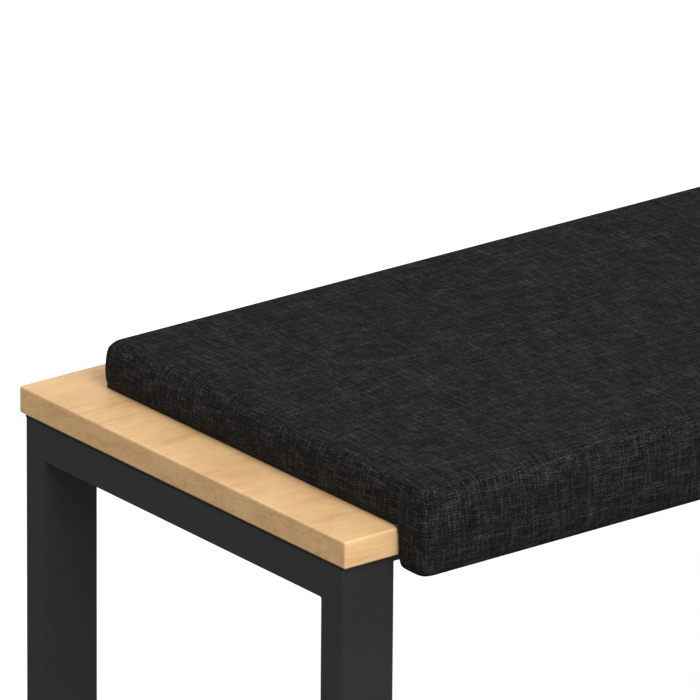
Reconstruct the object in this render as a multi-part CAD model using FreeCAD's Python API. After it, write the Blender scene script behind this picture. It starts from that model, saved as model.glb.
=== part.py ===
import FreeCAD, Part
import math
import os

from FreeCAD import Rotation, Vector

# Entryway bench: two inverted-U steel end frames, side rails, a maple top and a lift-off
# upholstered pad whose front rolls down over the top's edge.
# Millimetres.  +Z is up, +X runs along the bench and the front faces -Y.  The origin is on
# the floor, under the middle of the whole bench, pad lip included.

# ---------------------------------------------------------------- top
bench_length = 1219.2
bench_depth = 406.4
top_surface_height = 457.2
top_thickness = 22.0
top_edge_radius = 2.0

# ---------------------------------------------------------------- end frames
leg_width = 50.0                # along X
leg_depth = 25.0                # along Y
end_rail_height = 30.0
tube_wall = 2.0
tube_corner_radius = 1.5
frame_end_inset = 1.6           # from the top's short edge
frame_side_inset = 6.2          # from the top's long edges
damping_strip_thickness = 2.0   # between steel and wood

# ---------------------------------------------------------------- side and cross rails
side_rail_size = 30.0
side_rail_setback = 55.0        # from the top's long edge to the rail's outer face
end_plate_width = 70.0          # along Y
end_plate_thickness = 4.0
end_bolt_pitch = 50.0

# ---------------------------------------------------------------- M6 joints
m6_radius = 3.0
m6_hole_radius = 3.3
thread_clearance = 0.05
nut_across_flats = 10.0
nut_height = 5.0
end_bolt_grip = 3.0             # of thread that passes beyond the nut
bolt_head_radius = 5.25
bolt_head_height = 3.3
hex_key_size = 4.0
hex_key_depth = 2.0
washer_radius = 6.5
washer_thickness = 1.6

# ---------------------------------------------------------------- top fixings
bracket_count = 4               # on each side rail, evenly spaced
bracket_end_distance = 155.0    # from the side rail's ends to the outer brackets' middles
bracket_width = 40.0            # along X
bracket_reach = 32.0            # along Y, under the top
bracket_drop = 25.0             # down the rail's inner face
bracket_gauge = 3.0
bracket_slot_length = 14.0
bracket_slot_radius = 3.4
insert_radius = 5.0
insert_length = 12.0
insert_hole_spare = 2.0

# ---------------------------------------------------------------- levelling feet
sole_thickness = 1.5
foot_pad_radius = 12.0
foot_pad_height = 7.0
foot_pad_edge = 1.2
ball_radius = 3.5
ball_centre_height = 6.0
ball_clearance = 0.08
stem_neck_radius = 2.3
collar_across_flats = 11.0
collar_height = 4.0
collar_gap = 0.5                # pad to collar, and collar to plug when screwed right in
stem_radius = 4.0
stem_clearance = 0.08
foot_travel = 10.0
stem_lead_chamfer = 0.8

# ---------------------------------------------------------------- leg plugs
plug_flange = 3.0
plug_depth = 20.0
plug_fit = 0.1
plug_flange_radius = 1.5
plug_pocket_wall = 2.0
plug_boss_radius = 8.5
foot_insert_radius = 6.0
foot_insert_length = 15.0
plug_hole_clearance = 0.5

# ---------------------------------------------------------------- pad
pad_end_inset = 50.0            # from the top's short edges
pad_back_inset = 42.0           # from the top's back edge
pad_height = 39.5               # above the top's surface
lip_thickness = 35.0            # in front of the top's front edge
lip_reach = 35.0                # below the top's surface
lip_gap = 0.8                   # lip to the top's front edge
mat_thickness = 2.5
mat_end_margin = 1.5            # inside the pad's ends and back
mat_front_margin = 4.0          # behind the top's front edge
cover_thickness = 1.5
hem_width = 28.0
pad_front_top_radius = 14.0
pad_back_top_radius = 9.0
pad_base_radius = 6.0
lip_front_radius = 12.0
lip_back_radius = 12.0
pad_plan_radius = 20.0
pad_end_top_radius = 9.0
pad_end_base_radius = 16.0
seat_board_thickness = 9.0
nosing_board_thickness = 9.0
board_edge_clearance = 0.5      # board's edge to the cover's rounded base
board_corner_spare = 4.5        # board's corner radius over one parallel to the cover's
nosing_bottom_margin = 12.0     # above the lip's lowest point
board_screw_radius = 2.0
board_screw_head_radius = 4.0
board_screw_length = 28.0
board_screw_count = 7
board_screw_end_margin = 60.0
staple_crown = 10.0
staple_leg = 7.0
staple_wire = 0.7
staple_pitch = 60.0
staple_inset = 14.0             # from the pad's outline

# ---------------------------------------------------------------- hook and loop
strip_length = 100.0
strip_width = 25.0
hook_thickness = 1.2
strip_end_distance = 150.0      # from the top's short edges to each strip's middle
strip_edge_distance = 60.0      # from the mat's front and back edges to each strip's middle
strip_cutout_gap = 1.5

# ---------------------------------------------------------------- derived places
half_length = bench_length / 2
top_front = (lip_thickness - bench_depth) / 2
top_back = top_front + bench_depth
top_underside = top_surface_height - top_thickness
steel_top = top_underside - damping_strip_thickness
end_rail_bottom = steel_top - end_rail_height
side_rail_bottom = steel_top - side_rail_size

leg_outer_x = half_length - frame_end_inset
leg_inner_x = leg_outer_x - leg_width
leg_middle_x = (leg_outer_x + leg_inner_x) / 2
frame_front = top_front + frame_side_inset
frame_back = top_back - frame_side_inset
side_rail_end = leg_inner_x - end_plate_thickness

foot_pad_top = sole_thickness + foot_pad_height
collar_bottom = foot_pad_top + collar_gap
collar_top = collar_bottom + collar_height
leg_bottom = collar_top + collar_gap + plug_flange
foot_insert_top = leg_bottom + foot_insert_length
stem_top = foot_insert_top + foot_travel

pad_end = half_length - pad_end_inset
pad_front = top_front - lip_thickness
pad_back = top_back - pad_back_inset
pad_base = top_surface_height + mat_thickness
pad_top = top_surface_height + pad_height
lip_bottom = top_surface_height - lip_reach
lip_back = top_front - lip_gap
hem_top = pad_base + cover_thickness
seat_board_top = hem_top + seat_board_thickness
board_end = pad_end - pad_base_radius - board_edge_clearance
board_back = pad_back - pad_base_radius - board_edge_clearance
board_corner_radius = pad_plan_radius - pad_base_radius - board_edge_clearance + board_corner_spare
nosing_back = lip_back - cover_thickness
nosing_front = nosing_back - nosing_board_thickness

SIDES = {"left": -1, "right": 1}
ROWS = {"front": -1, "rear": 1}
AXES = {"x": Vector(1, 0, 0), "y": Vector(0, 1, 0), "z": Vector(0, 0, 1)}

nodes = {}


# ---------------------------------------------------------------- helpers
def block(x_range, y_range, z_range):
    """A box given by its limits along X, Y and Z, in either order."""
    low = Vector(min(x_range), min(y_range), min(z_range))
    high = Vector(max(x_range), max(y_range), max(z_range))
    size = high - low
    return Part.makeBox(size.x, size.y, size.z, low)


def rod(radius, start, end):
    """A round bar between two points."""
    run = end - start
    return Part.makeCylinder(radius, run.Length, start, run)


def hexagon_bar(across_flats, start, end):
    """A hexagonal bar between two points, with two of its corners along Y or X."""
    run = end - start
    radius = across_flats / math.sqrt(3)
    turns = [math.radians(60 * step) for step in range(7)]
    corners = [Vector(radius * math.cos(turn), radius * math.sin(turn), 0) for turn in turns]
    bar = Part.Face(Part.makePolygon(corners)).extrude(Vector(0, 0, run.Length))
    bar.Placement = FreeCAD.Placement(start, Rotation(AXES["z"], run))
    return bar


def rounded_along(shape, axis, radius, keep=lambda middle: True):
    """The shape with its straight edges along one axis rounded."""
    chosen = []
    for edge in shape.Edges:
        run = edge.lastVertex().Point - edge.firstVertex().Point
        if run.Length > 0 and abs(run.normalize().dot(AXES[axis])) > 0.999:
            if keep(edge.CenterOfMass):
                chosen.append(edge)
    return shape.makeFillet(radius, chosen)


def outline_prism(points, radii, place, run):
    """A closed outline with rounded corners, extruded.

    points are (u, v) pairs, radii is the rounding of each corner, place turns a (u, v)
    pair into a point, and run is the extrusion.
    """
    edges = []
    corners = []
    count = len(points)
    for index, (u, v) in enumerate(points):
        here = Vector(u, v, 0)
        before = Vector(*points[index - 1], 0) - here
        after = Vector(*points[(index + 1) % count], 0) - here
        before.normalize()
        after.normalize()
        radius = radii[index]
        half_turn = before.getAngle(after) / 2
        tangent = radius / math.tan(half_turn)
        bisector = (before + after).normalize()
        centre = here + bisector * (radius / math.sin(half_turn))
        corners.append((here + before * tangent, centre - bisector * radius, here + after * tangent))
    for index, (start, middle, end) in enumerate(corners):
        following = corners[(index + 1) % count][0]
        edges.append(Part.Arc(*[place(p.x, p.y) for p in (start, middle, end)]).toShape())
        edges.append(Part.LineSegment(place(end.x, end.y), place(following.x, following.y)).toShape())
    return Part.Face(Part.Wire(edges)).extrude(run)


def joined(shapes):
    """Separate solids kept side by side in one node."""
    return Part.makeCompound(shapes)


def each_foot():
    """The four legs: name, X and Y of the middle of the leg, and the row's direction."""
    for side, sign_x in SIDES.items():
        for row, sign_y in ROWS.items():
            y = frame_front + leg_depth / 2 if sign_y < 0 else frame_back - leg_depth / 2
            yield side + "_" + row, sign_x * leg_middle_x, y, sign_y


def side_rail_span(sign_y):
    """The side rail's limits along Y."""
    outer = top_front + side_rail_setback if sign_y < 0 else top_back - side_rail_setback
    return outer, outer - sign_y * side_rail_size


# ---------------------------------------------------------------- top
def bracket_points():
    """Where each top screw stands: X, Y and the row's direction."""
    reach = side_rail_end - bracket_end_distance
    for sign_y in ROWS.values():
        inner_face = side_rail_span(sign_y)[1]
        y = inner_face - sign_y * (bracket_gauge + bracket_reach) / 2
        for index in range(bracket_count):
            yield -reach + 2 * reach * index / (bracket_count - 1), y, sign_y


def make_top():
    """The solid maple slab, its edges eased, with blind holes for the inserts below."""
    top = block((-half_length, half_length), (top_front, top_back), (top_underside, top_surface_height))
    top = top.makeFillet(top_edge_radius, top.Edges)
    depth = Vector(0, 0, insert_length + insert_hole_spare)
    for x, y, sign_y in bracket_points():
        start = Vector(x, y, top_underside)
        top = top.cut(rod(insert_radius, start, start + depth))
    nodes["bench_top"] = top


# ---------------------------------------------------------------- end frames
def make_leg(name, x, y, sign_y):
    """A leg: a tube with rounded corners, square where the end rail is welded to it."""
    x_range = (x - leg_width / 2, x + leg_width / 2)
    y_range = (y - leg_depth / 2, y + leg_depth / 2)
    lower = block(x_range, y_range, (leg_bottom, end_rail_bottom))
    lower = rounded_along(lower, "z", tube_corner_radius)
    upper = block(x_range, y_range, (end_rail_bottom, steel_top))
    upper = rounded_along(upper, "z", tube_corner_radius, lambda middle: (middle.y - y) * sign_y > 0)
    bore = block(
        (x - leg_width / 2 + tube_wall, x + leg_width / 2 - tube_wall),
        (y - leg_depth / 2 + tube_wall, y + leg_depth / 2 - tube_wall),
        (leg_bottom, steel_top),
    )
    nodes[name + "_leg"] = lower.fuse(upper).cut(bore)


def tube(x_range, y_range, z_range, axis):
    """A rectangular tube that fills the given limits, open at both ends along one axis."""
    limits = {"x": x_range, "y": y_range, "z": z_range}
    inner = {}
    for name, (start, end) in limits.items():
        low = min(start, end)
        high = max(start, end)
        inner[name] = (low, high) if name == axis else (low + tube_wall, high - tube_wall)
    outer = rounded_along(block(x_range, y_range, z_range), axis, tube_corner_radius)
    return outer.cut(block(inner["x"], inner["y"], inner["z"]))


def end_bolt_points(sign_x, sign_y):
    """The two bolts of one end plate, on the end rail's inner face."""
    outer, inner = side_rail_span(sign_y)
    for share in (-0.5, 0.5):
        y = (outer + inner) / 2 + share * end_bolt_pitch
        yield Vector(sign_x * leg_inner_x, y, side_rail_bottom + side_rail_size / 2)


def make_end_rails():
    """The tube that joins the two legs of each end frame, with its bolt holes."""
    for side, sign_x in SIDES.items():
        rail = tube(
            (sign_x * leg_inner_x, sign_x * leg_outer_x),
            (frame_front + leg_depth, frame_back - leg_depth),
            (end_rail_bottom, steel_top),
            "y",
        )
        for sign_y in ROWS.values():
            for point in end_bolt_points(sign_x, sign_y):
                rail = rail.cut(rod(m6_hole_radius, point, point + Vector(sign_x * tube_wall, 0, 0)))
        nodes[side + "_end_rail"] = rail


# ---------------------------------------------------------------- side rails and joints
def make_side_rails():
    """The two long rails, and the short one between their middles."""
    for row, sign_y in ROWS.items():
        nodes[row + "_side_rail"] = tube(
            (-side_rail_end, side_rail_end),
            side_rail_span(sign_y),
            (side_rail_bottom, steel_top),
            "x",
        )
    nodes["centre_cross_rail"] = tube(
        (-side_rail_size / 2, side_rail_size / 2),
        (side_rail_span(-1)[1], side_rail_span(1)[1]),
        (side_rail_bottom, steel_top),
        "y",
    )


def make_end_plates():
    """A drilled plate welded on each end of each side rail."""
    for side, sign_x in SIDES.items():
        for row, sign_y in ROWS.items():
            middle = sum(side_rail_span(sign_y)) / 2
            plate = block(
                (sign_x * side_rail_end, sign_x * leg_inner_x),
                (middle - end_plate_width / 2, middle + end_plate_width / 2),
                (side_rail_bottom, side_rail_bottom + side_rail_size),
            )
            for point in end_bolt_points(sign_x, sign_y):
                start = point - Vector(sign_x * end_plate_thickness, 0, 0)
                plate = plate.cut(rod(m6_hole_radius, start, point))
            nodes[side + "_" + row + "_end_plate"] = plate


def button_bolt(seat, direction, length):
    """An M6 bolt with a low round head and a hex socket; direction points into the work."""
    head_top = seat - direction * bolt_head_height
    head = Part.makeCylinder(bolt_head_radius, bolt_head_height, head_top, direction)
    rim = [edge for edge in head.Edges if edge.CenterOfMass.isEqual(head_top, 0.01)]
    head = head.makeFillet(bolt_head_height / 2, rim)
    head = head.cut(hexagon_bar(hex_key_size, head_top, head_top + direction * hex_key_depth))
    return head.fuse(rod(m6_radius, seat, seat + direction * length))


def make_end_bolts():
    """The bolts through each end plate, and the nuts welded inside the end rails."""
    bolts = []
    nuts = []
    for sign_x in SIDES.values():
        outward = Vector(sign_x, 0, 0)
        for sign_y in ROWS.values():
            for point in end_bolt_points(sign_x, sign_y):
                seat = point - outward * end_plate_thickness
                grip = end_plate_thickness + tube_wall + nut_height + end_bolt_grip
                bolts.append(button_bolt(seat, outward, grip))
                face = point + outward * tube_wall
                nut = hexagon_bar(nut_across_flats, face, face + outward * nut_height)
                bore = rod(m6_radius + thread_clearance, face, face + outward * nut_height)
                nuts.append(nut.cut(bore))
    nodes["end_plate_bolts"] = joined(bolts)
    nodes["weld_nuts"] = joined(nuts)


# ---------------------------------------------------------------- damping strips
def make_damping_strips():
    """The thin strips that lie between the steel and the top."""
    z_range = (steel_top, top_underside)
    for side, sign_x in SIDES.items():
        x_range = (sign_x * leg_inner_x, sign_x * leg_outer_x)
        nodes[side + "_damping_strip"] = block(x_range, (frame_front, frame_back), z_range)
    for row, sign_y in ROWS.items():
        x_range = (-side_rail_end, side_rail_end)
        nodes[row + "_damping_strip"] = block(x_range, side_rail_span(sign_y), z_range)


# ---------------------------------------------------------------- top fixings
def slot_cutter(x, y, z_range):
    """A slot with round ends, long along Y."""
    low, high = z_range
    reach = bracket_slot_length / 2 - bracket_slot_radius
    cutter = block((x - bracket_slot_radius, x + bracket_slot_radius), (y - reach, y + reach), z_range)
    for end in (-reach, reach):
        cutter = cutter.fuse(rod(bracket_slot_radius, Vector(x, y + end, low), Vector(x, y + end, high)))
    return cutter


def make_top_fixings():
    """Slotted angle brackets on the side rails, with a screw, washer and insert for each."""
    brackets = []
    screws = []
    washers = []
    inserts = []
    up = Vector(0, 0, 1)
    for x, y, sign_y in bracket_points():
        inner_face = side_rail_span(sign_y)[1]
        x_range = (x - bracket_width / 2, x + bracket_width / 2)
        shelf_range = (top_underside - bracket_gauge, top_underside)
        shelf = block(x_range, (inner_face, inner_face - sign_y * bracket_reach), shelf_range)
        web_range = (top_underside - bracket_drop, top_underside)
        web = block(x_range, (inner_face, inner_face - sign_y * bracket_gauge), web_range)
        brackets.append(shelf.fuse(web).removeSplitter().cut(slot_cutter(x, y, shelf_range)))

        washer_top = Vector(x, y, top_underside - bracket_gauge)
        seat = washer_top - up * washer_thickness
        washer = rod(washer_radius, seat, washer_top).cut(rod(m6_hole_radius, seat, washer_top))
        washers.append(washer)
        screws.append(button_bolt(seat, up, washer_thickness + bracket_gauge + insert_length))

        start = Vector(x, y, top_underside)
        end = start + up * insert_length
        inserts.append(rod(insert_radius, start, end).cut(rod(m6_radius + thread_clearance, start, end)))
    nodes["top_brackets"] = joined(brackets)
    nodes["top_screws"] = joined(screws)
    nodes["top_washers"] = joined(washers)
    nodes["top_inserts"] = joined(inserts)


# ---------------------------------------------------------------- leg plugs
def make_leg_plug(name, x, y):
    """A moulded plug that closes a leg and holds the foot's threaded insert."""
    plug_half_x = leg_width / 2 - tube_wall - plug_fit
    plug_half_y = leg_depth / 2 - tube_wall - plug_fit
    flange = block(
        (x - leg_width / 2, x + leg_width / 2),
        (y - leg_depth / 2, y + leg_depth / 2),
        (leg_bottom - plug_flange, leg_bottom),
    )
    flange = rounded_along(flange, "z", plug_flange_radius)
    z_range = (leg_bottom, leg_bottom + plug_depth)
    body = block((x - plug_half_x, x + plug_half_x), (y - plug_half_y, y + plug_half_y), z_range)
    for sign in (-1, 1):
        pocket = block(
            (x + sign * plug_boss_radius, x + sign * (plug_half_x - plug_pocket_wall)),
            (y - plug_half_y + plug_pocket_wall, y + plug_half_y - plug_pocket_wall),
            z_range,
        )
        body = body.cut(pocket)
    plug = flange.fuse(body)
    bottom = Vector(x, y, leg_bottom - plug_flange)
    seat = Vector(x, y, leg_bottom)
    plug = plug.cut(rod(stem_radius + plug_hole_clearance, bottom, seat))
    nodes[name + "_leg_plug"] = plug.cut(rod(foot_insert_radius, seat, Vector(x, y, leg_bottom + plug_depth)))


def make_foot_inserts():
    """The steel threaded sleeves moulded into the four plugs."""
    inserts = []
    for name, x, y, sign_y in each_foot():
        start = Vector(x, y, leg_bottom)
        end = Vector(x, y, foot_insert_top)
        bore = rod(stem_radius + stem_clearance, start, end)
        inserts.append(rod(foot_insert_radius, start, end).cut(bore))
    nodes["foot_inserts"] = joined(inserts)


# ---------------------------------------------------------------- levelling feet
def make_foot(name, x, y):
    """A levelling foot: rubber sole, pad with a ball socket, and threaded stem."""
    sole = rod(foot_pad_radius - foot_pad_edge, Vector(x, y, 0), Vector(x, y, sole_thickness))
    nodes[name + "_foot_sole"] = sole

    bottom = Vector(x, y, sole_thickness)
    ball_centre = Vector(x, y, ball_centre_height)
    pad = rod(foot_pad_radius, bottom, Vector(x, y, foot_pad_top))
    pad = pad.makeChamfer(foot_pad_edge, [e for e in pad.Edges if len(e.Vertexes) == 1])
    nodes[name + "_foot_pad"] = pad.cut(Part.makeSphere(ball_radius + ball_clearance, ball_centre))

    stem = Part.makeSphere(ball_radius, ball_centre)
    stem = stem.fuse(rod(stem_neck_radius, ball_centre, Vector(x, y, collar_bottom)))
    collar = hexagon_bar(collar_across_flats, Vector(x, y, collar_bottom), Vector(x, y, collar_top))
    thread = rod(stem_radius, Vector(x, y, collar_top), Vector(x, y, stem_top))
    tip = [e for e in thread.Edges if e.CenterOfMass.z > stem_top - stem_lead_chamfer / 2]
    thread = thread.makeChamfer(stem_lead_chamfer, tip)
    nodes[name + "_foot_stem"] = stem.fuse(collar).fuse(thread)


# ---------------------------------------------------------------- pad
def soft_form(inset):
    """The pad's outer form, all faces moved in by inset.

    It is what three rounded outlines have in common: the L-shaped section along X, the
    outline seen from above, and the outline seen from the front.
    """
    end = pad_end - inset
    front = pad_front + inset
    back = pad_back - inset
    top = pad_top - inset
    base = pad_base + inset
    bottom = lip_bottom + inset
    inner = lip_back - inset

    section = [(front, bottom), (inner, bottom), (inner, base), (back, base), (back, top), (front, top)]
    section_radii = [
        lip_front_radius - inset,
        lip_back_radius - inset,
        cover_thickness + inset,
        pad_base_radius - inset,
        pad_back_top_radius - inset,
        pad_front_top_radius - inset,
    ]
    along = outline_prism(
        section,
        section_radii,
        lambda u, v: Vector(-end, u, v),
        Vector(2 * end, 0, 0),
    )
    plan = [(-end, front), (end, front), (end, back), (-end, back)]
    from_above = outline_prism(
        plan,
        [pad_plan_radius - inset] * len(plan),
        lambda u, v: Vector(u, v, bottom),
        Vector(0, 0, top - bottom),
    )
    face = [(-end, bottom), (end, bottom), (end, top), (-end, top)]
    from_front = outline_prism(
        face,
        [pad_end_base_radius - inset] * 2 + [pad_end_top_radius - inset] * 2,
        lambda u, v: Vector(u, front, v),
        Vector(0, back - front, 0),
    )
    return along.common(from_above).common(from_front)


def rounded_board(x_half, y_range, z_range, radius):
    """A flat board with rounded corners seen from above."""
    low, high = min(y_range), max(y_range)
    return outline_prism(
        [(-x_half, low), (x_half, low), (x_half, high), (-x_half, high)],
        [radius] * 4,
        lambda u, v: Vector(u, v, z_range[0]),
        Vector(0, 0, z_range[1] - z_range[0]),
    )


def board_screws():
    """Countersunk screws through the seat board into the nosing board's top edge."""
    y = (nosing_front + nosing_back) / 2
    reach = pad_end - board_screw_end_margin
    screws = []
    for index in range(board_screw_count):
        x = -reach + 2 * reach * index / (board_screw_count - 1)
        head_top = Vector(x, y, seat_board_top)
        down = Vector(0, 0, -1)
        head_height = board_screw_head_radius - board_screw_radius
        head = Part.makeCone(board_screw_head_radius, board_screw_radius, head_height, head_top, down)
        screws.append(head.fuse(rod(board_screw_radius, head_top, head_top + down * board_screw_length)))
    return screws


def staple(x, y, turned):
    """A staple driven up through the hem into the seat board, its crown along X or turned along Y."""
    half = staple_crown / 2
    wire = staple_wire / 2
    made = block((-half, half), (-wire, wire), (pad_base, pad_base + staple_wire))
    for end in (wire - half, half - wire):
        leg = block((end - wire, end + wire), (-wire, wire), (pad_base, pad_base + staple_leg))
        made = made.fuse(leg)
    if turned:
        made.rotate(Vector(0, 0, 0), AXES["z"], 90)
    made.translate(Vector(x, y, 0))
    return made


def staples():
    """The row of staples round the hem: along both ends and the back."""
    made = []
    x_reach = pad_end - staple_inset
    y_back = pad_back - staple_inset
    y_front = top_front + mat_front_margin + hem_width
    back_count = int(2 * (x_reach - staple_pitch) // staple_pitch) + 1
    for index in range(back_count):
        x = (index - (back_count - 1) / 2) * staple_pitch
        made.append(staple(x, y_back, False))
    end_count = int((y_back - y_front - staple_pitch) // staple_pitch) + 1
    for sign in (-1, 1):
        for index in range(end_count):
            y = (y_front + y_back) / 2 + (index - (end_count - 1) / 2) * staple_pitch
            made.append(staple(sign * x_reach, y, True))
    return made


def make_boards(driven, screws):
    """The plywood seat board and the nosing board that hangs from its front edge."""
    corners = [(-board_end, nosing_front), (board_end, nosing_front), (board_end, board_back)]
    corners.append((-board_end, board_back))
    seat_board = outline_prism(
        corners,
        [board_corner_radius] * len(corners),
        lambda u, v: Vector(u, v, hem_top),
        Vector(0, 0, seat_board_thickness),
    )
    nosing_end = board_end - board_corner_radius
    z_range = (lip_bottom + nosing_bottom_margin, hem_top)
    nosing_board = block((-nosing_end, nosing_end), (nosing_front, nosing_back), z_range)
    nodes["seat_board"] = seat_board.cut(joined(driven + screws))
    nodes["nosing_board"] = nosing_board.cut(joined(screws))
    return seat_board.fuse(nosing_board)


def make_pad():
    """The upholstered pad: cover, foam, boards, screws, staples and dust cover."""
    opening = block(
        (-pad_end + hem_width, pad_end - hem_width),
        (top_front + hem_width, pad_back - hem_width),
        (pad_base, hem_top),
    )
    driven = staples()
    screws = board_screws()
    boards = make_boards(driven, screws)
    foam_form = soft_form(cover_thickness)
    cover = soft_form(0).cut(foam_form).cut(opening)
    nodes["cushion_cover"] = cover.cut(joined(driven))
    nodes["dust_cover"] = opening
    nodes["board_screws"] = joined(screws)
    nodes["cover_staples"] = joined(driven)

    foam = foam_form.cut(boards)
    along = (-half_length, half_length)
    roll_space = block(along, (pad_front, nosing_back), (lip_bottom, seat_board_top))
    nodes["front_roll_foam"] = foam.common(roll_space)
    nodes["foam_core"] = foam.cut(roll_space).common(block(along, (pad_front, pad_back), (hem_top, pad_top)))


# ---------------------------------------------------------------- mat, hook and loop
def strip_points():
    """The middle of each pair of hook and loop strips."""
    x = half_length - strip_end_distance
    y_front = top_front + mat_front_margin + strip_edge_distance
    y_back = pad_back - mat_end_margin - strip_edge_distance
    return [(sign * x, y) for sign in (-1, 1) for y in (y_front, y_back)]


def strip_block(point, grow, z_range):
    """One strip's block, grown on its four sides."""
    x, y = point
    half_x = strip_length / 2 + grow
    half_y = strip_width / 2 + grow
    return block((x - half_x, x + half_x), (y - half_y, y + half_y), z_range)


def make_mat():
    """The anti-slip mat under the pad, and the strips that hold the pad down."""
    mat_end = pad_end - mat_end_margin
    mat_range = (top_surface_height, pad_base)
    hook_range = (top_surface_height, top_surface_height + hook_thickness)
    loop_range = (top_surface_height + hook_thickness, pad_base)
    y_range = (top_front + mat_front_margin, pad_back - mat_end_margin)
    mat = block((-mat_end, mat_end), y_range, mat_range)
    for point in strip_points():
        mat = mat.cut(strip_block(point, strip_cutout_gap, mat_range))
    nodes["anti_slip_mat"] = mat
    nodes["hook_strips"] = joined([strip_block(point, 0, hook_range) for point in strip_points()])
    nodes["loop_strips"] = joined([strip_block(point, 0, loop_range) for point in strip_points()])


# ---------------------------------------------------------------- build
def main():
    """Makes every piece and writes one STEP file for each node."""
    make_top()
    for name, x, y, sign_y in each_foot():
        make_leg(name, x, y, sign_y)
        make_leg_plug(name, x, y)
        make_foot(name, x, y)
    make_foot_inserts()
    make_end_rails()
    make_side_rails()
    make_end_plates()
    make_end_bolts()
    make_damping_strips()
    make_top_fixings()
    make_pad()
    make_mat()
    os.makedirs("parts", exist_ok=True)
    for name, shape in nodes.items():
        shape.exportStep("parts/" + name + ".step")


main()
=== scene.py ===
import math

import bpy
import numpy as np
from mathutils import Matrix, Vector


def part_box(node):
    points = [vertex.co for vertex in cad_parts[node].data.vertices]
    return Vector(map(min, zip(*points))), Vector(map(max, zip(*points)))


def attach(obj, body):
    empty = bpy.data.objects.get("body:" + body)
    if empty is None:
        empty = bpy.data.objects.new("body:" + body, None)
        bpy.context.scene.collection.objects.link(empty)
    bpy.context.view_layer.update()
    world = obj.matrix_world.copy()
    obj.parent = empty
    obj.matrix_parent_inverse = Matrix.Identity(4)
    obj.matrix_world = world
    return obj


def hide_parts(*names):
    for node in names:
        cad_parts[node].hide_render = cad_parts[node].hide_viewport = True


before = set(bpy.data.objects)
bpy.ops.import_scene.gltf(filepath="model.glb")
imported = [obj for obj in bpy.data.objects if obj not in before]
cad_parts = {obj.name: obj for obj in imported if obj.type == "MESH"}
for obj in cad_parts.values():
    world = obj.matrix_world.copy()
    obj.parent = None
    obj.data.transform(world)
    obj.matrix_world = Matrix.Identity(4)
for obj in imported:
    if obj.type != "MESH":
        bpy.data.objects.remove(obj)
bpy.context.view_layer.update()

bl_info = {
    "name": "Entryway Bench",
    "version": (1, 0, 0),
    "blender": (4, 5, 0),
    "location": "3D View > Sidebar > Bench",
    "description": "Finishes an entryway bench: maple top, black steel frame and a lift-off pad",
    "category": "Object",
}

MM = 0.001

PAD_BODY = "seat_pad"
FEET = ("left_front", "left_rear", "right_front", "right_rear")
STEEL_NODES = (
    "left_front_leg", "left_rear_leg", "right_front_leg", "right_rear_leg",
    "left_end_rail", "right_end_rail", "front_side_rail", "rear_side_rail",
    "centre_cross_rail", "left_front_end_plate", "left_rear_end_plate",
    "right_front_end_plate", "right_rear_end_plate", "top_brackets",
)
BLACK_OXIDE_NODES = ("end_plate_bolts", "top_screws")
ZINC_NODES = ("weld_nuts", "top_washers", "foot_inserts", "board_screws", "cover_staples")
TAPE_NODES = ("left_damping_strip", "right_damping_strip", "front_damping_strip", "rear_damping_strip")
BOARD_NODES = ("seat_board", "nosing_board")

# The cushion's making: how finely its shell is divided, and how long the cloth swells.
LENGTH_STEPS = 40
END_STEPS = 12
CORNER_STEPS = 9
RELAX_ROUNDS = 1
CLOTH_QUALITY = 5
CACHED_FRAMES = 20
SWELL_FRAMES = 12

# How the cover stands to the CAD parts round it.
END_SPARE = 0.4 * MM
LIP_BOTTOM_SPARE = 1.6 * MM
LIP_GAP = 0.8 * MM
BASE_OVERSHOOT = 3.2 * MM
LIP_OVERSHOOT = 1.6 * MM


# ---------------------------------------------------------------- what a user may change
class BenchPadSettings(bpy.types.PropertyGroup):
    """Sizes and colours of the upholstered pad."""

    fill: bpy.props.FloatProperty(
        name="Filling", description="How tightly the pad is stuffed", default=0.9, min=0, max=1,
        subtype="FACTOR",
    )
    pressure: bpy.props.FloatProperty(
        name="Swell pressure", description="Pressure of the foam on the cover", default=0.5, min=0,
    )
    crown: bpy.props.FloatProperty(
        name="Crown", description="Most that the cover may swell over the foam", default=3.2 * MM,
        min=0, unit="LENGTH",
    )
    tuck: bpy.props.FloatProperty(
        name="Tuck", description="How much smaller the cover starts than its full form",
        default=1.0 * MM, min=0, unit="LENGTH",
    )
    belly: bpy.props.FloatProperty(
        name="Belly", description="How far the ends and the back stand out, low down",
        default=2.2 * MM, min=0, unit="LENGTH",
    )
    cloth_cell: bpy.props.FloatProperty(
        name="Cloth cell", description="Size of the cloth's cells", default=4.5 * MM, min=3 * MM,
        unit="LENGTH",
    )
    yarn_pitch: bpy.props.FloatProperty(
        name="Yarn pitch", description="Distance from one yarn to the next", default=1.12 * MM,
        min=0.2 * MM, unit="LENGTH",
    )
    yarn_relief: bpy.props.FloatProperty(
        name="Yarn relief", description="Height of a yarn over its neighbours", default=0.25 * MM,
        min=0, unit="LENGTH",
    )
    dark_yarn: bpy.props.FloatVectorProperty(
        name="Dark yarn", description="Colour of the darkest yarn", default=(0.0036, 0.0036, 0.0038),
        min=0, max=1, subtype="COLOR",
    )
    light_yarn: bpy.props.FloatVectorProperty(
        name="Light yarn", description="Colour of the lightest yarn", default=(0.086, 0.086, 0.0865),
        min=0, max=1, subtype="COLOR",
    )


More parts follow.
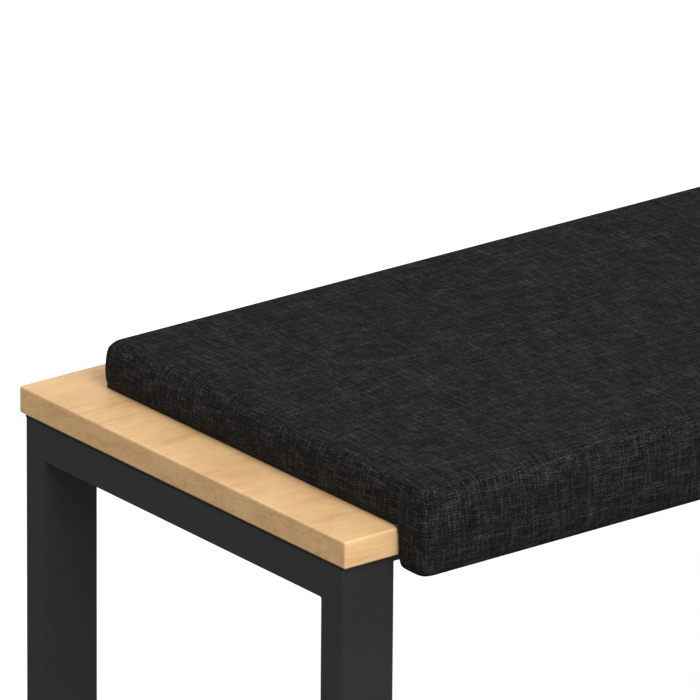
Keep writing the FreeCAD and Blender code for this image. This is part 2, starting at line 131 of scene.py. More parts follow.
class BenchTopSettings(bpy.types.PropertyGroup):
    """Colours and figure of the maple top."""

    light_wood: bpy.props.FloatVectorProperty(
        name="Light wood", description="Colour between the rings", default=(1.0, 0.655, 0.325),
        min=0, max=1, subtype="COLOR",
    )
    dark_wood: bpy.props.FloatVectorProperty(
        name="Dark wood", description="Colour of the rings and streaks",
        default=(0.72, 0.42, 0.175), min=0, max=1, subtype="COLOR",
    )
    ring_width: bpy.props.FloatProperty(
        name="Ring width", description="Width of a year's growth", default=3.4 * MM, min=0.5 * MM,
        unit="LENGTH",
    )
    sheen_roughness: bpy.props.FloatProperty(
        name="Lacquer roughness", description="How matt the lacquer is", default=0.42, min=0, max=1,
        subtype="FACTOR",
    )


class BenchSteelSettings(bpy.types.PropertyGroup):
    """Finish of the powder-coated steel."""

    coat: bpy.props.FloatVectorProperty(
        name="Coat", description="Colour of the powder coat", default=(0.0275, 0.0275, 0.0278),
        min=0, max=1, subtype="COLOR",
    )
    coat_roughness: bpy.props.FloatProperty(
        name="Coat roughness", description="How matt the powder coat is", default=0.5, min=0, max=1,
        subtype="FACTOR",
    )
    coat_grain: bpy.props.FloatProperty(
        name="Coat grain", description="Size of the powder coat's fine texture", default=0.9 * MM,
        min=0.1 * MM, unit="LENGTH",
    )


class BenchStageSettings(bpy.types.PropertyGroup):
    """Camera, floor and studio light."""

    lens: bpy.props.FloatProperty(
        name="Lens", description="Focal length in millimetres", default=595.9, min=50,
    )
    azimuth: bpy.props.FloatProperty(
        name="Azimuth", description="Turn of the camera to the left of the bench's front",
        default=math.radians(38.0026), subtype="ANGLE",
    )
    elevation: bpy.props.FloatProperty(
        name="Elevation", description="Height of the camera over the horizon",
        default=math.radians(20.7158), subtype="ANGLE",
    )
    roll: bpy.props.FloatProperty(
        name="Roll", description="Turn of the camera about its own line of sight",
        default=math.radians(-0.4519), subtype="ANGLE",
    )
    distance: bpy.props.FloatProperty(
        name="Distance", description="From the camera to the point it looks at", default=8.9367,
        min=1, unit="LENGTH",
    )
    aim: bpy.props.FloatVectorProperty(
        name="Aim", description="The point looked at, from the top's left front corner",
        default=(0.24996, 0.31571, 0.0), subtype="TRANSLATION", unit="LENGTH",
    )
    floor: bpy.props.FloatVectorProperty(
        name="Floor", description="Colour of the floor", default=(0.86, 0.86, 0.86), min=0, max=1,
        subtype="COLOR",
    )
    floor_glow: bpy.props.FloatProperty(
        name="Floor glow", description="Light added to the floor so that its shadows stay faint",
        default=0.5, min=0,
    )
    key_strength: bpy.props.FloatProperty(
        name="Key light", description="Strength of the large lamp, 1 for a white top", default=0.69,
        min=0,
    )
    sky_strength: bpy.props.FloatProperty(
        name="Sky light", description="Strength of the even light from all round", default=0.475,
        min=0,
    )


# ---------------------------------------------------------------- nodes and meshes
class Finish:
    """A material's nodes, with short calls that add a node and join it to others."""

    def __init__(self, name, roughness=0.5):
        self.material = bpy.data.materials.new(name)
        self.material.use_nodes = True
        self.tree = self.material.node_tree
        self.shader = self.tree.nodes["Principled BSDF"]
        self.shader.inputs["Roughness"].default_value = roughness

    def node(self, kind, inputs=(), **settings):
        """A new node with its settings, and values or other nodes' outputs on its inputs."""
        made = self.tree.nodes.new("ShaderNode" + kind)
        for name, value in settings.items():
            setattr(made, name, value)
        for key, value in dict(inputs).items():
            if isinstance(value, bpy.types.NodeSocket):
                self.tree.links.new(value, made.inputs[key])
            else:
                made.inputs[key].default_value = value
        return made

    def place(self, scale=(1, 1, 1), move=(0, 0, 0)):
        """A point on the piece in its own metres, scaled and moved."""
        point = self.node("TexCoord").outputs["Object"]
        return self.node("Mapping", {0: point, 1: move, 3: scale}).outputs[0]

    def calc(self, operation, first, second=0.0, clamp=False):
        """One sum on two numbers."""
        made = self.node("Math", {0: first, 1: second}, operation=operation, use_clamp=clamp)
        return made.outputs[0]

    def noise(self, point, scale=1.0, detail=2.0, roughness=0.5):
        """Cloudy noise from 0 to 1."""
        inputs = {"Vector": point, "Scale": scale, "Detail": detail, "Roughness": roughness}
        return self.node("TexNoise", inputs).outputs[0]

    def spread(self, value, low, high, to_low=0.0, to_high=1.0):
        """A value's range moved to another range, clamped."""
        return self.node("MapRange", {0: value, 1: low, 2: high, 3: to_low, 4: to_high}).outputs[0]

    def blend(self, share, first, second):
        """A mixture of two colours."""
        made = self.node("Mix", data_type="RGBA")
        for key, value in ((0, share), (6, first), (7, second)):
            if isinstance(value, bpy.types.NodeSocket):
                self.tree.links.new(value, made.inputs[key])
            else:
                made.inputs[key].default_value = value if key == 0 else (*value, 1.0)
        return made.outputs[2]

    def relief(self, height, depth, normal=None):
        """A bump of the given depth in metres."""
        inputs = {"Height": height, "Distance": depth, "Strength": 1.0}
        if normal is not None:
            inputs["Normal"] = normal
        return self.node("Bump", inputs).outputs[0]

    def join(self, **sockets):
        """Joins outputs to the shader's inputs, named with _ for a space."""
        for name, value in sockets.items():
            self.tree.links.new(value, self.shader.inputs[name.replace("_", " ")])

    def fixed(self, **values):
        """Sets the shader's own values, named with _ for a space."""
        for name, value in values.items():
            self.shader.inputs[name.replace("_", " ")].default_value = value


def paint(names, finish):
    """Gives CAD nodes a finish."""
    for name in names:
        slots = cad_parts[name].material_slots
        if not slots:
            raise RuntimeError(name + " has no material slot")
        for each in slots:
            each.material = finish.material


def grid_quads(rows, columns, around=False):
    """Corner numbers of the quads between points laid out in rows; around joins the last
    column to the first."""
    row, column = np.mgrid[: rows - 1, : columns if around else columns - 1]
    following = (column + 1) % columns
    quads = [row * columns + column, row * columns + following]
    quads += [(row + 1) * columns + following, (row + 1) * columns + column]
    return np.stack(quads, -1).reshape(-1, 4)


def make_object(name, points, faces, finish):
    """A smooth-shaded object from points and faces."""
    mesh = bpy.data.meshes.new(name)
    mesh.from_pydata(np.asarray(points, float).tolist(), [], [list(face) for face in faces])
    mesh.validate()
    mesh.polygons.foreach_set("use_smooth", np.ones(len(mesh.polygons), bool))
    made = bpy.data.objects.new(name, mesh)
    bpy.context.scene.collection.objects.link(made)
    if finish is not None:
        mesh.materials.append(finish.material)
    return made


def read_points(mesh):
    """A mesh's points as an array."""
    points = np.empty(len(mesh.vertices) * 3)
    mesh.vertices.foreach_get("co", points)
    return points.reshape(-1, 3)


def write_points(mesh, points):
    """Puts an array of points back into a mesh."""
    mesh.vertices.foreach_set("co", np.asarray(points, float).ravel())
    mesh.update()


def bake_modifiers(target):
    """Makes an object's modifiers part of its mesh."""
    graph = bpy.context.evaluated_depsgraph_get()
    mesh = bpy.data.meshes.new_from_object(target.evaluated_get(graph), depsgraph=graph)
    target.modifiers.clear()
    old = target.data
    target.data = mesh
    bpy.data.meshes.remove(old)


# ---------------------------------------------------------------- finishes
def maple_finish(settings):
    """Clear-lacquered maple.

    Rings are circles about a pith far under the slab, so that they show as long streaks on the
    top, as flat arcs on the ends, and as fine lines on the edges.  Fibres, flecks and a cloudy
    figure lie over them.  Faces turned along X are darkened, partly the end grain's own tone
    and partly painted shade of the ends, and carry pores.
    """
    f = Finish("maple", settings.sheen_roughness)
    drift = f.noise(f.place((1.6, 7, 7)), 1.0, 3.0, 0.55)
    place = f.node("SeparateXYZ", {0: f.place()})
    across = f.calc("ADD", place.outputs[1], f.calc("MULTIPLY", drift, 0.12))
    depth = f.calc("ADD", place.outputs[2], f.calc("MULTIPLY", drift, 0.05))
    across = f.calc("SUBTRACT", across, 0.16)
    depth = f.calc("SUBTRACT", depth, 0.30)
    radius = f.calc("SQRT", f.calc("ADD", f.calc("POWER", across, 2.0), f.calc("POWER", depth, 2.0)))
    turn = f.calc("MULTIPLY", radius, 2 * math.pi / settings.ring_width)
    ring = f.calc("POWER", f.calc("ADD", f.calc("MULTIPLY", f.calc("SINE", turn), 0.5), 0.5), 3.0)
    fibre = f.noise(f.place((22, 900, 900)), 1.0, 3.0, 0.6)
    streak = f.noise(f.place((14, 60, 190), (3, 1, 7)), 1.0, 4.0, 0.65)
    cloud = f.noise(f.place((20, 26, 60), (1, 8, 3)), 1.0, 3.0, 0.5)
    fleck = f.noise(f.place((75, 700, 1300), (5, 5, 5)), 1.0, 1.0, 0.5)
    shade = f.calc("MULTIPLY", ring, 0.06)
    shade = f.calc("ADD", shade, f.spread(fibre, 0.35, 0.75, 0.0, 0.2))
    shade = f.calc("ADD", shade, f.spread(streak, 0.5, 0.8, 0.0, 0.7))
    shade = f.calc("ADD", shade, f.spread(cloud, 0.35, 0.75, 0.0, 0.5))
    shade = f.calc("ADD", shade, f.spread(fleck, 0.6, 0.7, 0.0, 0.34), clamp=True)
    colour = f.blend(shade, settings.light_wood, settings.dark_wood)
    # Faces turned along X get a darker colour: partly the end grain's own tone, partly painted shade on the
    # ends.
    facing = f.node("SeparateXYZ", {0: f.node("NewGeometry").outputs["Normal"]}).outputs[0]
    end_shade_and_grain = f.spread(f.calc("ABSOLUTE", facing), 0.5, 1.0, 0.0, 0.3)
    end_shade_and_grain_colour = (0.56 * settings.dark_wood[0], 0.5 * settings.dark_wood[1], 0.3 * settings.dark_wood[2])
    colour = f.blend(end_shade_and_grain, colour, end_shade_and_grain_colour)
    pores = f.noise(f.place((40, 210, 620), (2, 7, 9)), 1.0, 2.0, 0.55)
    pores = f.calc("MULTIPLY", f.spread(pores, 0.5, 0.72, 0.0, 1.2), end_shade_and_grain)
    colour = f.blend(pores, colour, end_shade_and_grain_colour)
    f.join(
        Base_Color=colour,
        Roughness=f.spread(fibre, 0.3, 0.7, settings.sheen_roughness - 0.04, settings.sheen_roughness + 0.06),
        Normal=f.relief(fibre, 0.03 * MM),
    )
    return f


def powder_finish(settings):
    """Black powder coat: a fine pebbled skin, faintly uneven in gloss, with dusty rubs."""
    f = Finish("black_powder_coat", settings.coat_roughness)
    grain = f.noise(f.place(), 1.0 / settings.coat_grain, 2.0, 0.6)
    rub = f.noise(f.place((6, 6, 14)), 1.0, 4.0, 0.65)
    dust = f.noise(f.place(move=(2, 4, 1)), 240.0, 2.0, 0.5)
    lighter = tuple(1.35 * part for part in settings.coat)
    darker = tuple(0.86 * part for part in settings.coat)
    shade = f.calc("ADD", f.spread(rub, 0.35, 0.75, 0.0, 0.5), f.spread(dust, 0.5, 0.8, 0.0, 0.35))
    f.join(
        Base_Color=f.blend(shade, darker, lighter),
        Roughness=f.spread(rub, 0.3, 0.7, settings.coat_roughness - 0.05, settings.coat_roughness + 0.07),
        Normal=f.relief(grain, 0.035 * MM),
    )
    f.fixed(Specular_IOR_Level=0.2)
    return f


def weave_finish(settings, uv_name):
    """Coarse heathered plain weave, drawn on the cloth's own coordinates in metres.

    Cells of one yarn pitch alternate like a chequerboard between warp and weft.  Each yarn's
    shade wanders along its length, each crossing has its own, and thin places and slubs come
    and go in patches.
    """
    f = Finish("black_woven_fabric", 0.92)
    place = f.node("SeparateXYZ", {0: f.node("UVMap", uv_map=uv_name).outputs[0]})
    wander = f.noise(f.node("UVMap", uv_map=uv_name).outputs[0], 30.0, 1.0, 0.5)
    sway = f.calc("MULTIPLY", f.calc("SUBTRACT", wander, 0.5), 0.4 * settings.yarn_pitch)
    count_u = f.calc("DIVIDE", f.calc("ADD", place.outputs[0], sway), settings.yarn_pitch)
    count_v = f.calc("DIVIDE", f.calc("SUBTRACT", place.outputs[1], sway), settings.yarn_pitch)
    warp = f.calc("FLOOR", count_u)
    weft = f.calc("FLOOR", count_v)
    across_u = f.calc("SINE", f.calc("MULTIPLY", f.calc("FRACT", count_u), math.pi))
    across_v = f.calc("SINE", f.calc("MULTIPLY", f.calc("FRACT", count_v), math.pi))
    parity = f.calc("PINGPONG", f.calc("ADD", warp, weft), 1.0)

    def along(yarn, run, seed, length):
        """A shade that wanders along each yarn."""
        line = f.node("CombineXYZ", {0: f.calc("MULTIPLY", run, settings.yarn_pitch / length),
                                     1: f.calc("MULTIPLY", yarn, 7.31), 2: seed}).outputs[0]
        return f.noise(line, 1.0, 2.0, 0.6)

    warp_shade = along(warp, count_v, 3.0, 22 * MM)
    weft_shade = along(weft, count_u, 11.0, 22 * MM)
    cell = f.node("CombineXYZ", {0: warp, 1: weft, 2: 0.0}).outputs[0]
    speck = f.node("TexWhiteNoise", {0: cell}, noise_dimensions="3D").outputs[0]
    patch = f.noise(f.node("UVMap", uv_map=uv_name).outputs[0], 42.0, 3.0, 0.6)
    yarn = f.node("Mix", {0: parity, 2: warp_shade, 3: weft_shade}, data_type="FLOAT").outputs[0]
    shade = f.calc("ADD", f.spread(yarn, 0.3, 0.7, 0.13, 0.79), f.calc("MULTIPLY", speck, 0.24))
    strength = f.spread(patch, 0.3, 0.7, 0.92, 1.06)
    shade = f.calc("POWER", f.calc("MULTIPLY", shade, strength), 3.2)
    # Painted shade: each cell's colour darkens towards its edges, in the gaps between the yarns.
    painted_gap_shade = f.calc("MULTIPLY", f.calc("MULTIPLY", across_u, across_v), 0.45)
    shade = f.calc("MULTIPLY", shade, f.calc("ADD", painted_gap_shade, 0.75), clamp=True)
    over_u = f.calc("MULTIPLY", across_u, f.calc("ADD", f.calc("MULTIPLY", across_v, 0.45), 0.55))
    over_v = f.calc("MULTIPLY", across_v, f.calc("ADD", f.calc("MULTIPLY", across_u, 0.45), 0.55))
    height = f.node("Mix", {0: parity, 2: over_u, 3: over_v}, data_type="FLOAT").outputs[0]
    height = f.calc("ADD", height, f.calc("MULTIPLY", speck, 0.35))
    f.join(
        Base_Color=f.blend(shade, settings.dark_yarn, settings.light_yarn),
        Normal=f.relief(height, settings.yarn_relief),
    )
    f.fixed(Specular_IOR_Level=0.08)
    return f


def metal_finish(name, colour, roughness, grain=2600.0):
    """Plated or machined metal, with fine turning marks and uneven roughness."""
    f = Finish(name, roughness)
    marks = f.noise(f.place((grain, grain, grain * 0.15)), 1.0, 2.0, 0.6)
    cloud = f.noise(f.place(), 420.0, 3.0, 0.6)
    darker = tuple(0.72 * part for part in colour)
    f.join(
        Base_Color=f.blend(f.spread(cloud, 0.35, 0.7), colour, darker),
        Roughness=f.spread(marks, 0.3, 0.7, roughness - 0.06, roughness + 0.1),
        Normal=f.relief(marks, 0.01 * MM),
    )
    f.fixed(Metallic=1.0)
    return f


def moulded_finish(name, colour, roughness, grain, depth, specular=0.4):
    """Moulded rubber or plastic with a fine spark-eroded texture."""
    f = Finish(name, roughness)
    pebble = f.noise(f.place(), grain, 3.0, 0.6)
    cloud = f.noise(f.place(), grain / 18, 2.0, 0.5)
    lighter = tuple(1.5 * part for part in colour)
    f.join(
        Base_Color=f.blend(f.spread(cloud, 0.3, 0.75), colour, lighter),
        Roughness=f.spread(pebble, 0.3, 0.7, roughness - 0.05, roughness + 0.08),
        Normal=f.relief(pebble, depth),
    )
    f.fixed(Specular_IOR_Level=specular)
    return f


def plywood_finish():
    """Sanded birch plywood: rotary-cut figure on the faces and dark glue lines on the edges."""
    f = Finish("plywood", 0.62)
    place = f.node("SeparateXYZ", {0: f.place()})
    ply = f.calc("FRACT", f.calc("DIVIDE", place.outputs[2], 1.5 * MM))
    glue = f.spread(ply, 0.0, 0.12, 1.0, 0.0)
    figure = f.noise(f.place((3, 26, 300)), 1.0, 4.0, 0.6)
    fibre = f.noise(f.place((30, 800, 1500)), 1.0, 2.0, 0.6)
    face = f.blend(f.spread(figure, 0.35, 0.7), (0.72, 0.54, 0.35), (0.52, 0.36, 0.21))
    f.join(
        Base_Color=f.blend(f.calc("MULTIPLY", glue, 0.55), face, (0.16, 0.085, 0.045)),
        Normal=f.relief(fibre, 0.06 * MM),
    )
    return f


def cloth_tape_finish(name, pitch, colour, depth):
    """A plain narrow weave or felted cloth on the piece's own metres."""
    f = Finish(name, 0.9)
    place = f.node("SeparateXYZ", {0: f.place((1 / pitch, 1 / pitch, 1))})
    across = [
        f.calc("SINE", f.calc("MULTIPLY", f.calc("FRACT", place.outputs[axis]), math.pi)) for axis in (0, 1)
    ]
    knot = f.calc("MULTIPLY", across[0], across[1])
    fluff = f.noise(f.place(), 1.2 / pitch, 3.0, 0.7)
    height = f.calc("ADD", f.calc("MULTIPLY", knot, 0.5), fluff)
    # The colour follows the height: the knot term darkens the gaps between threads, which is painted shade,
    # and the fluff adds random tone.
    lighter = tuple(2.2 * part for part in colour)
    f.join(
        Base_Color=f.blend(f.spread(height, 0.4, 1.2), colour, lighter),
        Normal=f.relief(height, depth),
    )
    f.fixed(Specular_IOR_Level=0.15, Sheen_Weight=0.05)
    return f


# ---------------------------------------------------------------- pad
def pad_sizes(tuck):
    """The limits of the pad's cover, from the CAD cover and the parts it stands against."""
    low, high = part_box("cushion_cover")
    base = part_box("anti_slip_mat")[1].z
    lip_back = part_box("bench_top")[0].y - LIP_GAP
    return {
        "end": high.x + END_SPARE, "front": low.y + tuck, "back": high.y + END_SPARE,
        "top": high.z, "base": base, "low": low.z + LIP_BOTTOM_SPARE, "lip_back": lip_back,
    }


def pad_shell(sizes):
    """The pad's form before it swells: points and faces.

    An L-shaped outline with rounded corners is carried along X.  Near each end, every side of
    the outline draws in along its own quarter circle: at a distance t past the start of the
    rounding, a side with end radius r moves in by r - sqrt(r^2 - t^2).
    """
    end_radii = {
        "front": 5 * MM, "back": 6 * MM, "top": 7 * MM, "base": 0.5 * MM, "low": 5.5 * MM,
        "lip_back": 0.2 * MM,
    }
    sizes = dict(
        sizes, base=sizes["base"] - BASE_OVERSHOOT, lip_back=sizes["lip_back"] + LIP_OVERSHOOT
    )
    steps = np.sin(np.linspace(0, math.pi / 2, END_STEPS))
    widest = max(end_radii.values())
    half = sizes["end"] - widest + widest * steps
    middle_run = np.linspace(-half[0], half[0], LENGTH_STEPS)[1:-1]
    x = np.concatenate([-half[::-1], middle_run, half])
    side = {}
    for name, radius in end_radii.items():
        past = np.clip(np.abs(x) - (sizes["end"] - radius), 0, radius)
        moved = radius - np.sqrt(radius**2 - past**2)
        inward = {"front": 1, "back": -1, "top": -1, "base": 1, "low": 1, "lip_back": -1}[name]
        side[name] = sizes[name] + inward * moved
    lip = side["lip_back"] - side["front"]
    lip_radius = np.minimum(10 * MM, 0.48 * lip)
    behind_radius = np.minimum(7 * MM, 0.48 * lip)
    even = np.ones_like(x)
    corners = [
        (side["front"], side["low"], lip_radius, 180, 270, 1),
        (side["lip_back"], side["low"], behind_radius, 270, 360, 1),
        (side["lip_back"], side["base"], 1.5 * MM * even, 180, 90, -1),
        (side["back"], side["base"], 6 * MM * even, 270, 360, 1),
        (side["back"], side["top"], 9 * MM * even, 0, 90, 1),
        (side["front"], side["top"], 14 * MM * even, 90, 180, 1),
    ]
    rings = []  # one rounded corner after another
    for y, z, radius, start, stop, convex in corners:
        turn = np.radians(np.linspace(start, stop, CORNER_STEPS))[None, :]
        middle = np.radians((start + stop) / 2)
        centre_y = y - convex * np.sign(np.cos(middle)) * radius
        centre_z = z - convex * np.sign(np.sin(middle)) * radius
        if convex < 0:
            centre_y = y + radius
            centre_z = z - radius
        rings.append(np.stack([
            centre_y[:, None] + radius[:, None] * np.cos(turn),
            centre_z[:, None] + radius[:, None] * np.sin(turn),
        ], -1))
    outline = np.concatenate(rings, 1)
    around = outline.shape[1]
    points = np.concatenate([np.repeat(x[:, None, None], around, 1), outline], 2).reshape(-1, 3)
    faces = grid_quads(len(x), around, around=True).tolist()
    faces.append(list(range(around))[::-1])
    faces.append(list(range((len(x) - 1) * around, len(x) * around)))
    return points, faces


def relax(points, edges, rounds):
    """Each point moves half way to the mean of its neighbours, several times."""
    count = np.bincount(edges.ravel(), minlength=len(points))[:, None]
    for _ in range(rounds):
        total = np.zeros_like(points)
        np.add.at(total, edges[:, 0], points[edges[:, 1]])
        np.add.at(total, edges[:, 1], points[edges[:, 0]])
        points = 0.5 * points + 0.5 * total / count
    return points


def point_normals(mesh):
    """A mesh's outward directions at its points."""
    normals = np.empty(len(mesh.vertices) * 3)
    mesh.vertices.foreach_get("normal", normals)
    return normals.reshape(-1, 3)


def fill_out(cover, depth, sizes):
    """Stands the ends and the back out by depth * sin(pi t^0.6), t being the share of the
    height, so that they are widest under the middle."""
    points = read_points(cover.data)
    normals = point_normals(cover.data)
    foot = np.where(points[:, 1] < sizes["lip_back"], sizes["low"], sizes["base"])
    share = np.clip((points[:, 2] - foot) / (sizes["top"] - foot), 0, 1)
    facing = normals[:, 0] ** 2 + np.maximum(normals[:, 1], 0) ** 2
    out = depth * np.sin(math.pi * share**0.6) * facing
    write_points(cover.data, points + normals * out[:, None])


def swell(cover, settings):
    """Blows the cover up as cloth.  The foam stops it from moving inwards, and its outward move
    d is capped at crown * tanh(d / crown)."""
    cloth = cover.modifiers.new("cover", "CLOTH")
    cloth.settings.use_pressure = True
    cloth.settings.uniform_pressure_force = settings.pressure
    cloth.settings.effector_weights.gravity = 0
    cloth.settings.quality = CLOTH_QUALITY
    cloth.point_cache.frame_start = 1
    cloth.point_cache.frame_end = CACHED_FRAMES
    scene = bpy.context.scene
    before = read_points(cover.data)
    normals = point_normals(cover.data)
    for number in range(1, SWELL_FRAMES + 1):
        scene.frame_set(number)
    graph = bpy.context.evaluated_depsgraph_get()
    after = read_points(cover.evaluated_get(graph).data)
    cover.modifiers.clear()
    scene.frame_set(1)
    out = np.maximum(((after - before) * normals).sum(1), 0)
    out = settings.crown * np.tanh(out / settings.crown)
    write_points(cover.data, before + normals * out[:, None])


def press_flat(cover, sizes):
    """Flattens the cover where it lies on the mat and where the lip hangs against the top: a
    point inside both limits goes to the nearer one."""
    points = read_points(cover.data)
    below = sizes["base"] - points[:, 2]
    behind = points[:, 1] - sizes["lip_back"]
    inside = (below > 0) & (behind > 0)
    points[inside & (below <= behind), 2] = sizes["base"]
    points[inside & (below > behind), 1] = sizes["lip_back"]
    write_points(cover.data, points)


def lay_weave(cover, uv_name, sizes):
    """Lays the cloth's coordinates in metres.

    From the top, u is X and v is Y.  Down the front and back, v goes on with the drop below the
    top; down the ends, u does.  Under the pad, v goes on inwards.
    """
    mesh = cover.data
    points = read_points(mesh)
    normals = np.empty(len(mesh.polygons) * 3)
    mesh.polygons.foreach_get("normal", normals)
    normals = normals.reshape(-1, 3)
    sizes_of = np.empty(len(mesh.polygons), int)
    mesh.polygons.foreach_get("loop_total", sizes_of)
    corner = np.empty(len(mesh.loops), int)
    mesh.loops.foreach_get("vertex_index", corner)
    normal = np.repeat(normals, sizes_of, 0)
    x, y, z = points[corner].T
    drop = sizes["top"] - z
    u = x.copy()
    v = y.copy()
    widest = np.abs(normal).argmax(1)
    front = (widest == 1) & (normal[:, 1] < 0)
    back = (widest == 1) & (normal[:, 1] > 0)
    end = widest == 0
    under = (widest == 2) & (normal[:, 2] < 0)
    v[front] = sizes["front"] - drop[front]
    v[back] = sizes["back"] + drop[back]
    u[end] = np.sign(x[end]) * (sizes["end"] + drop[end])
    v[under] = sizes["front"] - (sizes["top"] - sizes["low"]) - (y[under] - sizes["front"])
    layer = mesh.uv_layers.new(name=uv_name)
    layer.data.foreach_set("uv", np.stack([u, v], 1).ravel())


# ---------------------------------------------------------------- operators
class BENCH_OT_wood_top(bpy.types.Operator):
    """Finish the solid maple top"""

    bl_idname = "bench.wood_top"
    bl_label = "Maple top"

    def execute(self, context):
        paint(["bench_top"], maple_finish(context.scene.bench_top))
        return {"FINISHED"}


class BENCH_OT_steel_frame(bpy.types.Operator):
    """Powder-coat the legs, rails, plates and brackets"""

    bl_idname = "bench.steel_frame"
    bl_label = "Steel frame"

    def execute(self, context):
        paint(STEEL_NODES, powder_finish(context.scene.bench_steel))
        return {"FINISHED"}


class BENCH_OT_fasteners(bpy.types.Operator):
    """Finish the bolts, screws, nuts, washers, inserts and staples"""

    bl_idname = "bench.fasteners"
    bl_label = "Fasteners"

    def execute(self, context):
        paint(BLACK_OXIDE_NODES, metal_finish("black_oxide_steel", (0.06, 0.06, 0.065), 0.42))
        paint(ZINC_NODES, metal_finish("zinc_plate", (0.62, 0.63, 0.65), 0.34))
        paint(["top_inserts"], metal_finish("machined_brass", (0.72, 0.53, 0.25), 0.36))
        return {"FINISHED"}


class BENCH_OT_feet(bpy.types.Operator):
    """Finish the levelling feet and the leg plugs"""

    bl_idname = "bench.feet"
    bl_label = "Levelling feet"

    def execute(self, context):
        nylon = moulded_finish("black_nylon", (0.018, 0.018, 0.018), 0.55, 2600.0, 0.02 * MM)
        rubber = moulded_finish("sole_rubber", (0.03, 0.03, 0.03), 0.8, 1500.0, 0.05 * MM, 0.25)
        zinc = metal_finish("bright_zinc_plate", (0.62, 0.63, 0.65), 0.3)
        paint([foot + "_foot_pad" for foot in FEET], nylon)
        paint([foot + "_leg_plug" for foot in FEET], nylon)
        paint([foot + "_foot_sole" for foot in FEET], rubber)
        paint([foot + "_foot_stem" for foot in FEET], zinc)
        return {"FINISHED"}


class BENCH_OT_strips(bpy.types.Operator):
    """Finish the damping strips, the anti-slip mat and the hook and loop strips"""

    bl_idname = "bench.strips"
    bl_label = "Strips and mat"

    def execute(self, context):
        tape = moulded_finish("closed_cell_tape", (0.015, 0.015, 0.015), 0.85, 1800.0, 0.08 * MM, 0.2)
        mat = moulded_finish("grip_mat_rubber", (0.014, 0.014, 0.014), 0.85, 700.0, 0.25 * MM, 0.2)
        paint(TAPE_NODES, tape)
        paint(["anti_slip_mat"], mat)
        paint(["hook_strips"], cloth_tape_finish("hook_tape", 0.9 * MM, (0.02, 0.02, 0.02), 0.4 * MM))
        paint(["loop_strips"], cloth_tape_finish("loop_tape", 0.6 * MM, (0.025, 0.025, 0.025), 0.3 * MM))
        return {"FINISHED"}


class BENCH_OT_pad_boards(bpy.types.Operator):
    """Finish the boards inside the pad and the cloth under it"""

    bl_idname = "bench.pad_boards"
    bl_label = "Pad boards"

    def execute(self, context):
        paint(BOARD_NODES, plywood_finish())
        paint(["dust_cover"], cloth_tape_finish("dust_cloth", 0.8 * MM, (0.018, 0.018, 0.018), 0.1 * MM))
        return {"FINISHED"}


class BENCH_OT_cushion(bpy.types.Operator):
    """Make the pad's woven cover, swollen over its foam"""

    bl_idname = "bench.cushion"
    bl_label = "Cushion"

    def execute(self, context):
        settings = context.scene.bench_pad
        uv_name = "weave"
        sizes = pad_sizes(settings.tuck)
        points, faces = pad_shell(sizes)
        cover = make_object("pad_cover", points, faces, None)
        remesh = cover.modifiers.new("cells", "REMESH")
        remesh.mode = "VOXEL"
        remesh.voxel_size = settings.cloth_cell
        bake_modifiers(cover)
        edges = np.empty(len(cover.data.edges) * 2, int)
        cover.data.edges.foreach_get("vertices", edges)
        edges = edges.reshape(-1, 2)
        write_points(cover.data, relax(read_points(cover.data), edges, RELAX_ROUNDS))
        fill_out(cover, settings.belly, sizes)
        swell(cover, settings)
        smooth = cover.modifiers.new("fine", "SUBSURF")
        smooth.levels = 1
        smooth.render_levels = 1
        bake_modifiers(cover)
        press_flat(cover, sizes)
        cover.data.polygons.foreach_set("use_smooth", np.ones(len(cover.data.polygons), bool))
        lay_weave(cover, uv_name, sizes)
        cover.data.materials.clear()
        cover.data.materials.append(weave_finish(settings, uv_name).material)
        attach(cover, PAD_BODY)
        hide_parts("cushion_cover", "foam_core", "front_roll_foam")
        return {"FINISHED"}


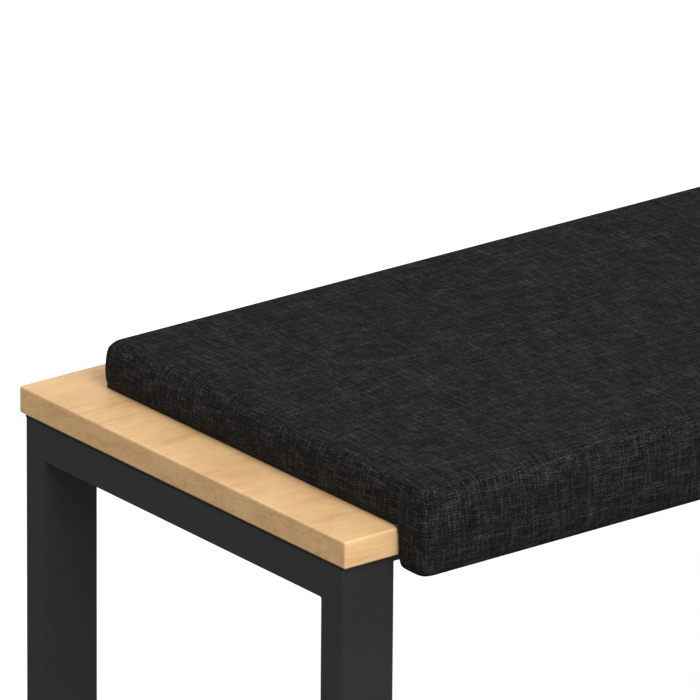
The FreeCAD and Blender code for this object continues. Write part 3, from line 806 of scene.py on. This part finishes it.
class BENCH_OT_stage(bpy.types.Operator):
    """Set the floor, the studio light and the camera"""

    bl_idname = "bench.stage"
    bl_label = "Stage"

    def execute(self, context):
        settings = context.scene.bench_stage
        self.make_floor(settings)
        self.make_light(context.scene, settings)
        self.make_camera(context.scene, settings)
        context.scene.view_settings.view_transform = "Standard"
        context.scene.view_settings.look = "None"
        return {"FINISHED"}

    def make_floor(self, settings):
        """A wide pale floor, seen by the camera but adding no bounced light."""
        f = Finish("pale_floor", 0.9)
        cloud = f.noise(f.place(), 0.8, 3.0, 0.5)
        paler = tuple(min(1.0, 1.03 * part) for part in settings.floor)
        f.join(Base_Color=f.blend(cloud, settings.floor, paler))
        f.fixed(Specular_IOR_Level=0.0, Emission_Color=(1, 1, 1, 1), Emission_Strength=settings.floor_glow)
        reach = 60.0
        corners = [(-reach, -reach, 0), (reach, -reach, 0), (reach, reach, 0), (-reach, reach, 0)]
        floor = make_object("floor", corners, [(0, 1, 2, 3)], f)
        floor.visible_diffuse = False
        floor.visible_glossy = False

    def make_light(self, scene, settings):
        """An even sky, a little brighter overhead, and one large soft lamp in front."""
        world = bpy.data.worlds.new("studio")
        scene.world = world
        world.use_nodes = True
        tree = world.node_tree
        way = tree.nodes.new("ShaderNodeTexCoord")
        parts = tree.nodes.new("ShaderNodeSeparateXYZ")
        tree.links.new(way.outputs["Generated"], parts.inputs[0])
        level = tree.nodes.new("ShaderNodeMath")
        level.operation = "MULTIPLY_ADD"
        overhead_gain = 0.435  # the sky's light is 1 + 0.435 z of its level at the horizon
        level.inputs[1].default_value = overhead_gain * settings.sky_strength
        level.inputs[2].default_value = settings.sky_strength
        tree.links.new(parts.outputs[2], level.inputs[0])
        tree.links.new(level.outputs[0], tree.nodes["Background"].inputs["Strength"])
        tree.nodes["Background"].inputs["Color"].default_value = (1, 1, 1, 1)

        lamp_side = 3.5
        distance = 6.0
        azimuth = math.radians(18)
        height = math.radians(39)
        away = Vector((-math.sin(azimuth) * math.cos(height), -math.cos(azimuth) * math.cos(height),
                       math.sin(height)))
        lamp = bpy.data.lights.new("softbox", "AREA")
        lamp.shape = "SQUARE"
        lamp.size = lamp_side
        lamp.energy = settings.key_strength * math.pi**2 * distance**2
        holder = bpy.data.objects.new("softbox", lamp)
        middle = Vector((0, 0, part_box("bench_top")[1].z))
        holder.location = middle + away * distance
        holder.rotation_euler = away.to_track_quat("Z", "Y").to_euler()
        scene.collection.objects.link(holder)

    def make_camera(self, scene, settings):
        """A long lens that looks down on the left end of the top."""
        low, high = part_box("bench_top")
        aim = Vector((low.x, low.y, high.z)) + Vector(settings.aim)
        flat = math.cos(settings.elevation)
        back = Vector((-math.sin(settings.azimuth) * flat, -math.cos(settings.azimuth) * flat,
                       math.sin(settings.elevation)))
        right = Vector((math.cos(settings.azimuth), -math.sin(settings.azimuth), 0))
        up = back.cross(right)
        turned_right = math.cos(settings.roll) * right - math.sin(settings.roll) * up
        turned_up = math.sin(settings.roll) * right + math.cos(settings.roll) * up
        camera = bpy.data.cameras.new("camera")
        camera.lens = settings.lens
        camera.sensor_width = 36.0
        camera.clip_start = 0.1
        camera.clip_end = 200.0
        holder = bpy.data.objects.new("camera", camera)
        turn = Matrix((turned_right, turned_up, back)).transposed().to_4x4()
        holder.matrix_world = Matrix.Translation(aim + back * settings.distance) @ turn
        scene.collection.objects.link(holder)
        scene.camera = holder


class BENCH_PT_panel(bpy.types.Panel):
    """The bench's pieces and what can be changed on them"""

    bl_label = "Entryway Bench"
    bl_idname = "BENCH_PT_panel"
    bl_space_type = "VIEW_3D"
    bl_region_type = "UI"
    bl_category = "Bench"

    def draw(self, context):
        for operator in OPERATORS:
            self.layout.operator(operator.bl_idname)
        for name, group in SETTINGS.items():
            column = self.layout.box().column()
            for setting in group.__annotations__:
                column.prop(getattr(context.scene, name), setting)


OPERATORS = (
    BENCH_OT_wood_top, BENCH_OT_steel_frame, BENCH_OT_fasteners, BENCH_OT_feet, BENCH_OT_strips,
    BENCH_OT_pad_boards, BENCH_OT_cushion, BENCH_OT_stage,
)
SETTINGS = {
    "bench_pad": BenchPadSettings, "bench_top": BenchTopSettings, "bench_steel": BenchSteelSettings,
    "bench_stage": BenchStageSettings,
}


def register():
    """Makes the settings, operators and panel known, and hangs the settings on the scene."""
    for made in (*SETTINGS.values(), *OPERATORS, BENCH_PT_panel):
        bpy.utils.register_class(made)
    for name, group in SETTINGS.items():
        setattr(bpy.types.Scene, name, bpy.props.PointerProperty(type=group))


def unregister():
    """Takes away what register added."""
    for name in SETTINGS:
        delattr(bpy.types.Scene, name)
    for made in (BENCH_PT_panel, *reversed(OPERATORS), *SETTINGS.values()):
        bpy.utils.unregister_class(made)


def main():
    register()
    bpy.ops.bench.wood_top()
    bpy.ops.bench.steel_frame()
    bpy.ops.bench.fasteners()
    bpy.ops.bench.feet()
    bpy.ops.bench.strips()
    bpy.ops.bench.pad_boards()
    bpy.ops.bench.cushion()
    bpy.ops.bench.stage()


if __name__ == "__main__":
    main()
